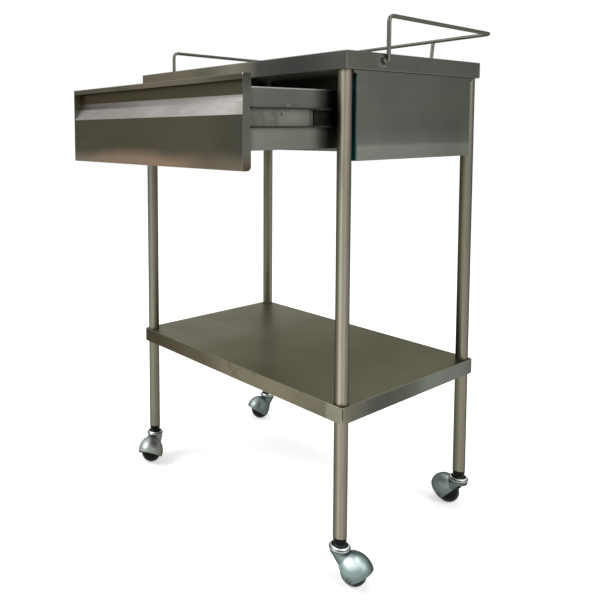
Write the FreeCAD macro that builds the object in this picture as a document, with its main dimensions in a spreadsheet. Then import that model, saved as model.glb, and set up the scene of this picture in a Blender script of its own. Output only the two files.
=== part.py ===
"""Instrument table: a stainless ward trolley with one drawer, a guard rail and a lower shelf.

Origin: centre of the leg rectangle, on the floor.  X runs along the drawer front,
Y runs to the back, Z is up.  Millimetres.  The drawer stands part way open and the
casters are swivelled, which is the rest position of every joint.
"""
import FreeCAD, Part
import math
import os
import re

import Sketcher
from FreeCAD import Placement, Rotation, Vector

# Driving dimensions: name, value, meaning
SIZES = [
    ("tray_length", 650.0, "top and shelf, along X"),
    ("tray_width", 450.0, "top and shelf, along Y"),
    ("tray_top", 1007.0, "height of the working surface"),
    ("tray_rim", 33.0, "depth of the folded rim of the top"),
    ("tray_sheet", 1.2, "sheet of the top and the shelf"),
    ("tray_corner", 2.0, "upright corners of the top"),
    ("tray_bend", 1.6, "bend along the upper edges"),
    ("shelf_top", 348.0, "height of the shelf surface"),
    ("shelf_rim", 32.0, "depth of the folded rim of the shelf"),
    ("shelf_corner", 6.0, "upright corners of the shelf"),
    ("leg_diameter", 26.5, "tube of the legs"),
    ("leg_wall", 1.5, "wall of the leg tube"),
    ("leg_inset", 17.0, "leg centres inside the edges of the top"),
    ("leg_foot", 87.5, "height of the lower tube ends"),
    ("weld_fit", 0.05, "radial fit of a tube in a welded hole"),
    ("panel_sheet", 1.0, "sheet of the housing panels"),
    ("panel_drop", 200.5, "lower edge of the panels under the top"),
    ("panel_leg_gap", 4.8, "gap between a panel's flange and the leg"),
    ("side_inset", 2.4, "side panel's face behind the edge of the top"),
    ("back_inset", 2.4, "back panel's face behind the edge of the top"),
    ("panel_flange", 27.0, "width of the upright flanges"),
    ("panel_top_flange", 16.0, "width of the flange under the top"),
    ("flange_drop", 11.0, "head of the upright flanges under the rim's edge"),
    ("ear_length", 10.0, "ears of the panel's head over the legs"),
    ("ear_rise", 6.0, "rise of the ears' lower edge"),
    ("drawer_opening", 217.0, "how far the drawer stands open at rest"),
    ("front_leg_gap", 5.2, "gap between the drawer front and each leg"),
    ("front_drop", 47.7, "upper edge of the drawer front under the top"),
    ("front_height", 162.8, "height of the drawer front"),
    ("front_depth", 18.0, "depth of the folded drawer front"),
    ("front_sheet", 1.0, "sheet of the drawer front"),
    ("front_corner", 8.0, "rounded lower back corner of the side returns"),
    ("pull_depth", 16.0, "depth of the finger pull"),
    ("pull_lip", 10.3, "height of the lip over the finger pull"),
    ("pull_back", 38.3, "foot of the pull's back wall under the upper edge"),
    ("pull_slope", 68.3, "foot of the pull's slope under the upper edge"),
    ("box_drop", 177.0, "lower face of the drawer box under the top"),
    ("box_height", 108.0, "height of the drawer box"),
    ("box_length", 384.0, "length of the drawer box"),
    ("box_sheet", 1.0, "sheet of the drawer box"),
    ("box_hem", 7.0, "height of the folded hem"),
    ("slide_drop", 121.0, "slides' centre line under the top"),
    ("slide_height", 35.0, "height of the outer slide member"),
    ("slide_depth", 12.7, "depth of a complete slide"),
    ("slide_play", 0.7, "gap between a slide and the panel's flange"),
    ("slide_sheet", 1.2, "sheet of the outer and inner slide members"),
    ("slide_mouth", 10.5, "depth of the outer slide member"),
    ("slide_lip", 1.5, "lip at the mouth of the outer slide member"),
    ("slide_ball", 2.6, "bearing balls of the slides"),
    ("slide_fit", 0.1, "play of a bearing ball in its track"),
    ("slide_web_gap", 0.8, "gap between the webs of nested members"),
    ("retainer_length", 130.0, "strip that spaces the bearing balls"),
    ("retainer_width", 4.4, "width of that strip"),
    ("retainer_sheet", 0.8, "thickness of that strip"),
    ("retainer_inset", 8.0, "strip from the middle member's end"),
    ("ball_pitch", 35.0, "distance between neighbouring balls"),
    ("middle_sheet", 1.0, "sheet of the middle slide member"),
    ("inner_flange", 7.7, "flange of the inner slide member"),
    ("outer_length", 375.0, "length of the outer slide member"),
    ("middle_length", 330.0, "length of the middle slide member"),
    ("inner_length", 365.0, "length of the inner slide member"),
    ("middle_lag", 50.5, "middle member's end behind the outer one, closed"),
    ("inner_lag", 19.0, "inner member's end behind the outer one, closed"),
    ("bracket_height", 44.0, "height of the channel that carries a slide"),
    ("bracket_sheet", 1.5, "sheet of that channel"),
    ("rail_rod", 8.0, "rod of the guard rail"),
    ("near_right_rise", 70.5, "rail's near right corner over the top"),
    ("back_right_rise", 64.0, "rail's back right corner over the top"),
    ("back_left_rise", 57.0, "rail's back left corner over the top"),
    ("near_left_rise", 63.0, "rail's near left corner over the top"),
    ("rail_overhang", 30.9, "rail behind the edge of the top"),
    ("rail_post_right", 117.0, "right near post behind the front edge"),
    ("rail_post_left", 105.0, "left near post behind the front edge"),
    ("rail_bend", 12.0, "bends at the upper corners of the rail"),
    ("rail_foot_drop", 27.0, "corner of a rod's hooked foot under the top"),
    ("rail_hook", 22.5, "hook from that corner to its tip"),
    ("rail_hook_bend", 7.0, "bend of the hook"),
    ("rail_hook_rise", 45.0, "rise of the hook's tip, in degrees"),
    ("back_post_head", 382.0, "distance between the heads of the back posts"),
    ("back_post_foot", 398.0, "distance between their feet"),
    ("post_gap", 0.5, "weld gap between a back post's head and the rail"),
    ("rivet_diameter", 3.2, "rivet through the rim and the side panel"),
    ("rivet_behind", 218.0, "rivet behind the front edge of the top"),
    ("rivet_drop", 20.5, "rivet under the top"),
    ("screw_diameter", 4.0, "screws that hold the slides to the drawer"),
    ("screw_head", 7.0, "heads of those screws"),
    ("screw_head_height", 1.6, "height of those heads"),
    ("screw_behind", 6.0, "screws behind the front end of the slide"),
    ("screw_spread", 16.0, "distance between the two screws of a slide"),
    ("screw_drop", 2.0, "middle of the two screws under the slides' centre line"),
    ("hole_diameter", 4.6, "open hole in the outer slide member"),
    ("hole_behind", 78.0, "that hole behind the front end of the slide"),
    ("hole_rise", 6.0, "that hole over the slides' centre line"),
    ("tab_behind", 96.0, "pointed tab behind the front end of the slide"),
    ("tab_width", 12.0, "foot of the tab"),
    ("tab_height", 5.0, "tab over the slide"),
    ("weld_bead", 2.5, "weld round a leg under the top and the shelf"),
    ("ball_radius", 25.0, "caster's ball wheel"),
    ("ball_flat", 23.0, "flat side of the ball from its middle"),
    ("trail", 27.0, "ball's middle beside the swivel axis"),
    ("hood_round", 36.0, "hood's radius in the plane of rolling"),
    ("hood_half_width", 31.0, "hood's reach along the axle"),
    ("hood_shift", 3.0, "hood's middle outside the ball's"),
    ("hood_rise", 3.0, "hood's middle above the ball's"),
    ("hood_wall", 2.0, "wall of the hood"),
    ("hood_lobe", 8.5, "rounded ear round the axle"),
    ("hood_boss", 6.5, "boss inside the ear"),
    ("hood_dimple", 5.0, "dimple over the axle's end"),
    ("hood_front_reach", 10.0, "front edge of the hood under the neck"),
    ("hood_back_level", 41.0, "back edge of the hood"),
    ("neck_radius", 19.0, "neck of the hood"),
    ("neck_top", 63.0, "upper face of the neck"),
    ("neck_ring", 5.0, "height of the neck's straight ring"),
    ("neck_plate", 7.0, "thickness of the neck round the stem"),
    ("web_foot_radius", 20.0, "foot of the web between neck and shell"),
    ("web_foot_along", 20.0, "middle of that foot behind the swivel axis"),
    ("web_foot_level", 30.0, "height of that foot"),
    ("axle_diameter", 6.0, "wheel's axle"),
    ("axle_half", 28.0, "axle's shoulder from the ball's middle"),
    ("axle_head", 4.2, "riveted end of the axle"),
    ("axle_head_height", 1.2, "height of the riveted end"),
    ("wheel_play", 0.4, "gap between the ball's flat side and the boss"),
    ("running_fit", 0.05, "radial fit of turning pieces"),
    ("stem_diameter", 10.0, "swivel stem"),
    ("stem_foot", 51.0, "lower end of the stem"),
    ("stem_foot_radius", 7.5, "riveted lower end of the stem"),
    ("stem_top", 118.0, "upper end of the stem"),
    ("cap_radius", 20.6, "swivel cap"),
    ("cap_bottom", 65.0, "lower face of the swivel cap"),
    ("cap_shoulder", 71.0, "foot of the cap's cone"),
    ("cap_top", 74.5, "upper face of the cap"),
    ("cap_neck", 12.0, "upper radius of the cap's cone"),
    ("cap_round", 4.0, "rounded rim of the cap"),
    ("plug_reach", 32.0, "plug inside the leg tube"),
    ("washer_radius", 17.0, "thrust washer between the neck and the cap"),
    ("swivel_front_left", 302.0, "trailing direction, degrees from X"),
    ("swivel_front_right", 22.0, "trailing direction, degrees from X"),
    ("swivel_back_left", 260.0, "trailing direction, degrees from X"),
    ("swivel_back_right", 176.0, "trailing direction, degrees from X"),
]

NAMES = {name for name, value, meaning in SIZES}
LEG_X = "(tray_length / 2 - leg_inset)"
LEG_Y = "(tray_width / 2 - leg_inset)"
PANEL_FOOT = "(tray_top - panel_drop)"
FRONT_HEAD = "(tray_top - front_drop)"
FRONT_FOOT = f"({FRONT_HEAD} - front_height)"
BOX_FOOT = "(tray_top - box_drop)"
SLIDE_LEVEL = "(tray_top - slide_drop)"
RAIL_FOOT = "(tray_top - rail_foot_drop)"
SIDES = (("left", -1), ("right", 1))
CORNERS = (
    ("front_left", -1, -1),
    ("front_right", 1, -1),
    ("back_left", -1, 1),
    ("back_right", 1, 1),
)

doc = FreeCAD.newDocument("instrument_table")
sheet = doc.addObject("Spreadsheet::Sheet", "Sizes")
for row, (name, value, meaning) in enumerate(SIZES, start=1):
    sheet.set(f"A{row}", name)
    sheet.set(f"B{row}", str(value))
    sheet.set(f"C{row}", meaning)
    sheet.setAlias(f"B{row}", name)
doc.recompute()
nodes = []


# Helpers
def link(text):
    """The expression with each size written as a cell of the sheet."""
    return re.sub(r"[a-z][a-z_]*", lambda m: f"Sizes.{m[0]}" if m[0] in NAMES else m[0], text)


def size(text):
    """The present value of an expression on the sheet, in millimetres or degrees."""
    return float(sheet.evalExpression(text))


def bind(item, **expressions):
    """Ties properties of an object to the sheet; __ stands for a dot."""
    for name, text in expressions.items():
        item.setExpression(name.replace("__", "."), link(text))


def keep(item, name):
    """Makes an object a sub-part with its own label."""
    item.Label = name
    nodes.append(item)
    return item


def new_body(name):
    return keep(doc.addObject("PartDesign::Body", name), name)


def plane(body, role):
    return next(item for item in body.Origin.OriginFeatures if item.Role == role)


def new_sketch(body, role, offset):
    """A sketch on a plane of the body, moved along the plane's normal."""
    sketch = body.newObject("Sketcher::SketchObject", f"{body.Name}_sketch")
    sketch.AttachmentSupport = [(plane(body, role), "")]
    sketch.MapMode = "FlatFace"
    bind(sketch, AttachmentOffset__Base__z=offset)
    return sketch


def outline(sketch, corners):
    """A closed polygon; every corner is a pair of expressions."""
    first = sketch.GeometryCount
    points = [Vector(size(across), size(up), 0) for across, up in corners]
    count = len(points)
    for index in range(count):
        line = Part.LineSegment(points[index], points[(index + 1) % count])
        sketch.addGeometry(line, False)
    for index in range(count):
        after = first + (index + 1) % count
        sketch.addConstraint(Sketcher.Constraint("Coincident", first + index, 2, after, 1))
    for index, texts in enumerate(corners):
        for kind, text in zip(("DistanceX", "DistanceY"), texts):
            rule = Sketcher.Constraint(kind, -1, 1, first + index, 1, size(text))
            place = sketch.addConstraint(rule)
            sketch.setExpression(f"Constraints[{place}]", link(text))
    return sketch


def rectangle(sketch, left, right, low, high):
    return outline(sketch, [(left, low), (right, low), (right, high), (left, high)])


def circle(sketch, across, up, radius):
    """A circle whose middle and radius are expressions."""
    shape = Part.Circle(Vector(size(across), size(up), 0), Vector(0, 0, 1), size(radius))
    index = sketch.addGeometry(shape, False)
    for kind, text in (("DistanceX", across), ("DistanceY", up)):
        place = sketch.addConstraint(Sketcher.Constraint(kind, -1, 1, index, 3, size(text)))
        sketch.setExpression(f"Constraints[{place}]", link(text))
    place = sketch.addConstraint(Sketcher.Constraint("Radius", index, size(radius)))
    sketch.setExpression(f"Constraints[{place}]", link(radius))


def feature(body, kind, sketch, length, against):
    """A pad or pocket; against turns it round from its usual direction."""
    item = body.newObject(f"PartDesign::{kind}", f"{body.Name}_{kind.lower()}")
    item.Profile = sketch
    item.Reversed = against
    bind(item, Length=length)
    sketch.Visibility = False
    return item


def pad(body, sketch, length, against=False):
    return feature(body, "Pad", sketch, length, against)


def pocket(body, sketch, length, against=False):
    """A pocket that has to take material away."""
    before = body.Tip
    doc.recompute()
    full = before.Shape.Volume
    item = feature(body, "Pocket", sketch, length, against)
    doc.recompute()
    if item.Shape.Volume >= full:
        raise ValueError(f"{item.Name} cuts nothing")
    return item


def fillet(body, radius, chosen):
    """Rounds the edges of the body's last feature that the test chooses."""
    doc.recompute()
    base = body.Tip
    edges = [f"Edge{i}" for i, edge in enumerate(base.Shape.Edges, start=1) if chosen(edge)]
    if not edges:
        raise ValueError(f"{body.Name} has no edge to round")
    item = body.newObject("PartDesign::Fillet", f"{body.Name}_fillet")
    item.Base = (base, edges)
    bind(item, Radius=radius)
    doc.recompute()
    return item


def turned(name, profile):
    """A body turned about its own Z axis; the profile is radius and height."""
    body = new_body(name)
    sketch = outline(new_sketch(body, "XZ_Plane", "0"), profile)
    item = body.newObject("PartDesign::Revolution", f"{name}_revolution")
    item.Profile = sketch
    item.ReferenceAxis = (sketch, ["V_Axis"])
    item.Angle = 360
    sketch.Visibility = False
    return body


def solid_feature(name, shape, placement=Placement()):
    """A sub-part whose shape is worked out from the sheet in code."""
    item = doc.addObject("Part::Feature", name)
    item.Shape = shape
    item.Placement = placement
    return keep(item, name)


def runs_along(edge, axis):
    """Whether a straight edge is parallel to an axis."""
    if len(edge.Vertexes) != 2:
        return False
    run = edge.Vertexes[1].Point - edge.Vertexes[0].Point
    return abs(abs(run.dot(axis)) - run.Length) < 1e-6 * run.Length


def bent_rod(points, bends, radius):
    """A round rod along straight runs joined by tangent arcs."""
    edges = []
    start = points[0]
    for before, corner, after, bend in zip(points, points[1:], points[2:], bends):
        inward = (corner - before).normalize()
        outward = (after - corner).normalize()
        turn = inward.getAngle(outward)
        reach = bend * math.tan(turn / 2)
        first = corner - inward * reach
        last = corner + outward * reach
        aside = (outward - inward).normalize()
        middle = corner + aside * (bend / math.cos(turn / 2) - bend)
        edges.append(Part.LineSegment(start, first).toShape())
        edges.append(Part.Arc(first, middle, last).toShape())
        start = last
    edges.append(Part.LineSegment(start, points[-1]).toShape())
    path = Part.Wire(edges)
    section = Part.Wire(Part.Circle(points[0], points[1] - points[0], radius).toShape())
    rod = path.makePipeShell([section], True, False)
    if abs(rod.Volume / (path.Length * math.pi * radius ** 2) - 1) > 0.01:
        raise ValueError("a rod does not fill its path")
    return rod


UP = Vector(0, 0, 1)
ALONG = Vector(1, 0, 0)
BACK = Vector(0, 1, 0)


# Top and shelf
def folded_tray(name, top, rim, corner):
    """A sheet tray turned upside down: a flat top with a rim folded down all round."""
    body = new_body(name)
    half_x = "tray_length / 2"
    half_y = "tray_width / 2"
    foot = f"{top} - {rim}"
    block = rectangle(new_sketch(body, "XY_Plane", foot), f"-{half_x}", half_x, f"-{half_y}", half_y)
    pad(body, block, rim)
    fillet(body, corner, lambda edge: runs_along(edge, UP))
    level = size(top)
    fillet(body, "tray_bend", lambda edge: all(abs(v.Z - level) < 1e-6 for v in edge.Vertexes))
    inner_x = f"({half_x} - tray_sheet)"
    inner_y = f"({half_y} - tray_sheet)"
    hollow = new_sketch(body, "XY_Plane", foot)
    rectangle(hollow, f"-{inner_x}", inner_x, f"-{inner_y}", inner_y)
    pocket(body, hollow, f"{rim} - tray_sheet", against=True)
    return body


RIVET_ALONG = "(rivet_behind - tray_width / 2)"
RIVET_LEVEL = "(tray_top - rivet_drop)"


def make_top():
    """The top has a rivet hole through the rim on each side."""
    body = folded_tray("top_tray", "tray_top", "tray_rim", "tray_corner")
    holes = new_sketch(body, "YZ_Plane", "-tray_length / 2 - 1")
    circle(holes, RIVET_ALONG, RIVET_LEVEL, "rivet_diameter / 2 + weld_fit")
    pocket(body, holes, "tray_length + 2", against=True)


def make_shelf():
    """The shelf is the same tray with a hole for each leg."""
    body = folded_tray("shelf_tray", "shelf_top", "shelf_rim", "shelf_corner")
    holes = new_sketch(body, "XY_Plane", "shelf_top - shelf_rim")
    for corner, side, depth in CORNERS:
        circle(holes, f"{side} * {LEG_X}", f"{depth} * {LEG_Y}", "leg_diameter / 2 + weld_fit")
    pocket(body, holes, "shelf_rim", against=True)


def make_legs():
    for corner, side, depth in CORNERS:
        name = f"leg_{corner}"
        outside = doc.addObject("Part::Cylinder", f"{name}_outside")
        bore = doc.addObject("Part::Cylinder", f"{name}_bore")
        bind(outside, Radius="leg_diameter / 2")
        bind(bore, Radius="leg_diameter / 2 - leg_wall")
        for item in (outside, bore):
            bind(item, Height="tray_top - tray_sheet - leg_foot", Placement__Base__z="leg_foot")
            bind(item, Placement__Base__x=f"{side} * {LEG_X}")
            bind(item, Placement__Base__y=f"{depth} * {LEG_Y}")
        tube = doc.addObject("Part::Cut", name)
        tube.Base = outside
        tube.Tool = bore
        keep(tube, name)


def make_welds():
    """A weld runs round each leg where it meets the top and the shelf."""
    inner = size("leg_diameter / 2 + weld_fit")
    bead = size("weld_bead")
    for name, level in (("top_welds", size("tray_top - tray_sheet")),
                        ("shelf_welds", size("shelf_top - tray_sheet"))):
        beads = []
        for corner, side, depth in CORNERS:
            foot = Vector(side * size(LEG_X), depth * size(LEG_Y), level - bead)
            cone = Part.makeCone(inner + bead / 4, inner + bead, bead, foot)
            beads.append(cone.cut(Part.makeCylinder(inner, bead, foot)))
        solid_feature(name, Part.makeCompound(beads))


# Housing of the drawer
PANEL_HEAD = "(tray_top - tray_sheet)"
FLANGE_HEAD = "(tray_top - tray_rim - flange_drop)"


def folded_panel(name, face, half, turned_round):
    """An upright panel with a flange at each end, one under the top, and two ears.

    face is the outer face's distance from the middle, half is half of the panel's
    length, and turned_round is the panel's angle about Z: 0 stands at +X.
    """
    body = new_body(name)
    body.Placement = Placement(Vector(), Rotation(UP, turned_round))
    inner = f"{face} - panel_sheet"
    edge = f"{face} - panel_flange"
    section = new_sketch(body, "XY_Plane", PANEL_FOOT)
    outline(section, [
        (face, f"-{half}"),
        (face, half),
        (edge, half),
        (edge, f"{half} - panel_sheet"),
        (inner, f"{half} - panel_sheet"),
        (inner, f"-{half} + panel_sheet"),
        (edge, f"-{half} + panel_sheet"),
        (edge, f"-{half}"),
    ])
    pad(body, section, f"{FLANGE_HEAD} - {PANEL_FOOT}")
    head = new_sketch(body, "YZ_Plane", inner)
    ear = f"({half} + ear_length)"
    outline(head, [
        (f"-{half}", FLANGE_HEAD),
        (half, FLANGE_HEAD),
        (ear, f"{FLANGE_HEAD} + ear_rise"),
        (ear, PANEL_HEAD),
        (f"-{ear}", PANEL_HEAD),
        (f"-{ear}", f"{FLANGE_HEAD} + ear_rise"),
    ])
    pad(body, head, "panel_sheet")
    lip = new_sketch(body, "XY_Plane", f"{PANEL_HEAD} - panel_sheet")
    reach = f"{half} - panel_flange"
    rectangle(lip, f"{face} - panel_top_flange", inner, f"-({reach})", reach)
    pad(body, lip, "panel_sheet")
    return body


def make_panels():
    side_half = f"({LEG_Y} - leg_diameter / 2 - panel_leg_gap)"
    back_half = f"({LEG_X} - leg_diameter / 2 - panel_leg_gap)"
    side_face = "(tray_length / 2 - side_inset)"
    back_face = "(tray_width / 2 - back_inset)"
    folded_panel("back_panel", back_face, back_half, 90)
    for hand, side in SIDES:
        body = folded_panel(f"side_panel_{hand}", side_face, side_half, 90 - 90 * side)
        hole = new_sketch(body, "YZ_Plane", f"{side_face} - panel_sheet - 1")
        circle(hole, f"{side} * {RIVET_ALONG}", RIVET_LEVEL, "rivet_diameter / 2 + weld_fit")
        pocket(body, hole, "panel_sheet + 2", against=True)


# Slides: u runs from the drawer's side to the panel, across the slide
DRAWER_SIDE = "(tray_length / 2 - side_inset - panel_flange - slide_play - slide_depth)"
CLOSED_FACE = "(-tray_width / 2)"
FRONT_BACK = f"({CLOSED_FACE} + front_depth)"


def channel(name, side, profile, front, length):
    """A straight section along Y; the profile is u and the height over the slides' level."""
    body = new_body(name)
    sketch = new_sketch(body, "XZ_Plane", f"-({front})")
    corners = [(f"{side} * ({DRAWER_SIDE} + {u})", f"{SLIDE_LEVEL} + {up}") for u, up in profile]
    outline(sketch, corners)
    pad(body, sketch, length, against=True)
    return body


def c_section(web_out, web_in, tip, half, sheet_name, lip="0"):
    """A C section: web between web_out and web_in, flanges to tip, lips turned in."""
    inside = f"({half} - {sheet_name})"
    upper = [
        (web_in, inside),
        (tip, inside),
    ]
    if lip != "0":
        upper = [
            (web_in, inside),
            (f"({tip} - {sheet_name})", inside),
            (f"({tip} - {sheet_name})", f"({inside} - {lip})"),
            (tip, f"({inside} - {lip})"),
        ]
    upper_side = upper + [(tip, half), (web_out, half)]
    lower_side = [(u, f"(-{up})") for u, up in reversed(upper_side)]
    return lower_side + [point for point in upper_side]


TRACK = "(slide_ball + 2 * slide_fit)"
OUTER_HALF = "(slide_height / 2)"
MIDDLE_HALF = f"({OUTER_HALF} - slide_sheet - {TRACK})"
INNER_HALF = f"({MIDDLE_HALF} - middle_sheet - {TRACK})"
MIDDLE_WEB = "(slide_sheet + slide_web_gap)"
MIDDLE_FRONT = f"({FRONT_BACK} + middle_lag - drawer_opening / 2)"
SLIDE_FRONT = f"({FRONT_BACK} - drawer_opening)"
SCREW_ALONG = f"({SLIDE_FRONT} + screw_behind)"
SCREW_LEVELS = (
    f"({SLIDE_LEVEL} - screw_drop + screw_spread / 2)",
    f"({SLIDE_LEVEL} - screw_drop - screw_spread / 2)",
)


def make_slides():
    outer = c_section("0", "slide_sheet", "slide_mouth", OUTER_HALF, "slide_sheet", "slide_lip")
    middle = c_section(MIDDLE_WEB, f"({MIDDLE_WEB} + middle_sheet)", "slide_mouth", MIDDLE_HALF,
                       "middle_sheet")
    inner = c_section("slide_depth", "(slide_depth - slide_sheet)", "(slide_depth - inner_flange)",
                      INNER_HALF, "slide_sheet")
    bracket_half = "(bracket_height / 2)"
    bracket = c_section("slide_depth", "(slide_depth + bracket_sheet)",
                        "(slide_depth + slide_play + panel_flange - panel_sheet)",
                        bracket_half, "bracket_sheet")
    half = f"({LEG_Y} - leg_diameter / 2 - panel_leg_gap - panel_sheet)"
    for hand, side in SIDES:
        make_outer_member(f"slide_drawer_{hand}", side, outer)
        channel(f"slide_middle_{hand}", side, middle, MIDDLE_FRONT, "middle_length")
        channel(f"slide_cabinet_{hand}", side, inner, f"{FRONT_BACK} + inner_lag", "inner_length")
        channel(f"slide_bracket_{hand}", side, bracket, f"-{half}", f"2 * {half}")
        solid_feature(f"slide_balls_{hand}", ball_strips(side))


def make_outer_member(name, side, profile):
    """The member on the drawer: screw holes at its front, an open hole and a pointed tab."""
    body = channel(name, side, profile, SLIDE_FRONT, "outer_length")
    near = DRAWER_SIDE if side > 0 else f"(-{DRAWER_SIDE} - slide_sheet)"
    tab = new_sketch(body, "YZ_Plane", near)
    middle = f"({SLIDE_FRONT} + tab_behind)"
    head = f"({SLIDE_LEVEL} + {OUTER_HALF})"
    outline(tab, [
        (f"{middle} - tab_width / 2", f"{head} - slide_sheet"),
        (f"{middle} + tab_width / 2", f"{head} - slide_sheet"),
        (middle, f"{head} + tab_height"),
    ])
    pad(body, tab, "slide_sheet")
    holes = new_sketch(body, "YZ_Plane", f"{near} - 1")
    for level in SCREW_LEVELS:
        circle(holes, SCREW_ALONG, level, "screw_diameter / 2 + weld_fit")
    circle(holes, f"{SLIDE_FRONT} + hole_behind", f"{SLIDE_LEVEL} + hole_rise", "hole_diameter / 2")
    pocket(body, holes, "slide_sheet + 2", against=True)


def make_drawer_screws():
    """Two screws on each side hold the outer slide member; they end at the box's wall."""
    web = size("slide_sheet")
    start = size(DRAWER_SIDE)
    screws = []
    for hand, side in SIDES:
        for level in SCREW_LEVELS:
            spot = Vector(side * start, size(SCREW_ALONG), size(level))
            shank = Part.makeCylinder(size("screw_diameter / 2"), web, spot, ALONG * side)
            head = Part.makeCylinder(size("screw_head / 2"), size("screw_head_height"),
                                     spot + ALONG * (side * web), ALONG * side)
            screws.append(shank.fuse(head))
    solid_feature("drawer_screws", Part.makeCompound(screws))


def ball_strips(side):
    """Four strips of bearing balls: two run outside the middle member, two inside it."""
    length = size("retainer_length")
    width = size("retainer_width")
    thick = size("retainer_sheet")
    inset = size("retainer_inset")
    pitch = size("ball_pitch")
    front = size(MIDDLE_FRONT)
    rear = front + size("middle_length")
    outer_track = (size("(slide_sheet + slide_mouth) / 2"),
                   size(f"{OUTER_HALF} - slide_sheet - {TRACK} / 2"), front + inset)
    inner_track = (size("(slide_depth - inner_flange + slide_mouth) / 2"),
                   size(f"{MIDDLE_HALF} - middle_sheet - {TRACK} / 2"), rear - inset - length)
    count = int(length // pitch) + 1
    first = (length - (count - 1) * pitch) / 2
    strips = []
    for depth, height, start in (outer_track, inner_track):
        across = side * (size(DRAWER_SIDE) + depth)
        for level in (size(SLIDE_LEVEL) + height, size(SLIDE_LEVEL) - height):
            strip = Part.makeBox(width, length, thick,
                                 Vector(across - width / 2, start, level - thick / 2))
            balls = [
                Part.makeSphere(size("slide_ball / 2"),
                                Vector(across, start + first + step * pitch, level))
                for step in range(count)
            ]
            strips.append(strip.fuse(balls))
    return Part.makeCompound(strips)


# Drawer
def make_drawer_front():
    """A folded pan with a finger pull: lip, back wall and slope between closed ends."""
    body = new_body("drawer_front")
    half = f"({LEG_X} - leg_diameter / 2 - front_leg_gap)"
    face = f"({CLOSED_FACE} - drawer_opening)"
    rear = f"({face} + front_depth)"
    block = new_sketch(body, "YZ_Plane", f"-{half}")
    rectangle(block, face, rear, FRONT_FOOT, FRONT_HEAD)
    pad(body, block, f"2 * {half}")
    low = size(FRONT_FOOT)
    behind = size(rear)
    fillet(body, "front_corner", lambda edge: all(
        abs(v.Z - low) < 1e-6 and abs(v.Y - behind) < 1e-6 for v in edge.Vertexes))
    pull = new_sketch(body, "YZ_Plane", f"-{half} + front_sheet")
    outline(pull, [
        (f"{face} - 1", f"{FRONT_HEAD} - pull_slope"),
        (face, f"{FRONT_HEAD} - pull_slope"),
        (f"{face} + pull_depth", f"{FRONT_HEAD} - pull_back"),
        (f"{face} + pull_depth", f"{FRONT_HEAD} - front_sheet"),
        (f"{face} + front_sheet", f"{FRONT_HEAD} - front_sheet"),
        (f"{face} + front_sheet", f"{FRONT_HEAD} - pull_lip"),
        (f"{face} - 1", f"{FRONT_HEAD} - pull_lip"),
    ])
    pocket(body, pull, f"2 * ({half} - front_sheet)", against=True)
    hollow = new_sketch(body, "YZ_Plane", f"-{half} + front_sheet")
    outline(hollow, [
        (f"{rear} + 1", f"{FRONT_FOOT} + front_sheet"),
        (f"{rear} + 1", f"{FRONT_HEAD} - front_sheet"),
        (f"{face} + pull_depth + front_sheet", f"{FRONT_HEAD} - front_sheet"),
        (f"{face} + pull_depth + front_sheet", f"{FRONT_HEAD} - pull_back"),
        (f"{face} + front_sheet", f"{FRONT_HEAD} - pull_slope"),
        (f"{face} + front_sheet", f"{FRONT_FOOT} + front_sheet"),
    ])
    pocket(body, hollow, f"2 * ({half} - front_sheet)", against=True)


def make_drawer_box():
    """An open box whose walls end in a hem folded to the inside."""
    body = new_body("drawer_box")
    front = f"({CLOSED_FACE} + pull_depth + front_sheet - drawer_opening)"
    back = f"({front} + box_length)"
    block = new_sketch(body, "XY_Plane", BOX_FOOT)
    rectangle(block, f"-{DRAWER_SIDE}", DRAWER_SIDE, front, back)
    pad(body, block, "box_height")
    inside = new_sketch(body, "XY_Plane", f"{BOX_FOOT} + box_sheet")
    wall = "box_sheet"
    rectangle(inside, f"-{DRAWER_SIDE} + {wall}", f"{DRAWER_SIDE} - {wall}",
              f"{front} + {wall}", f"{back} - {wall}")
    pocket(body, inside, "box_height - box_sheet - box_hem", against=True)
    mouth = new_sketch(body, "XY_Plane", f"{BOX_FOOT} + box_height - box_hem")
    wall = "2 * box_sheet"
    rectangle(mouth, f"-{DRAWER_SIDE} + {wall}", f"{DRAWER_SIDE} - {wall}",
              f"{front} + {wall}", f"{back} - {wall}")
    pocket(body, mouth, "box_height", against=True)


# Guard rail
def hook(corner, along):
    """The tip of a rod's foot, which turns up again from its lowest corner."""
    rise = math.radians(size("rail_hook_rise"))
    way = along * math.cos(rise) + UP * math.sin(rise)
    return corner + way * size("rail_hook")


def make_guard_rail():
    """One rod: hooked foot, near post, arm, back bar, arm, near post, hooked foot."""
    radius = size("rail_rod / 2")
    reach = size("tray_length / 2 + rail_rod / 2")
    behind = size("tray_width / 2 + rail_overhang")
    front = size("-tray_width / 2")
    top = size("tray_top")
    points = []
    for hand, side in reversed(SIDES):
        along = front + size(f"rail_post_{hand}")
        foot = Vector(side * reach, along, size(RAIL_FOOT))
        run = [
            hook(foot, -BACK),
            foot,
            Vector(side * reach, along, top + size(f"near_{hand}_rise")),
            Vector(side * reach, behind, top + size(f"back_{hand}_rise")),
        ]
        points += run if side > 0 else run[::-1]
    foot_bend, bend = size("rail_hook_bend"), size("rail_bend")
    bends = [foot_bend, bend, bend, bend, bend, foot_bend]
    solid_feature("guard_rail", bent_rod(points, bends, radius))


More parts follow.
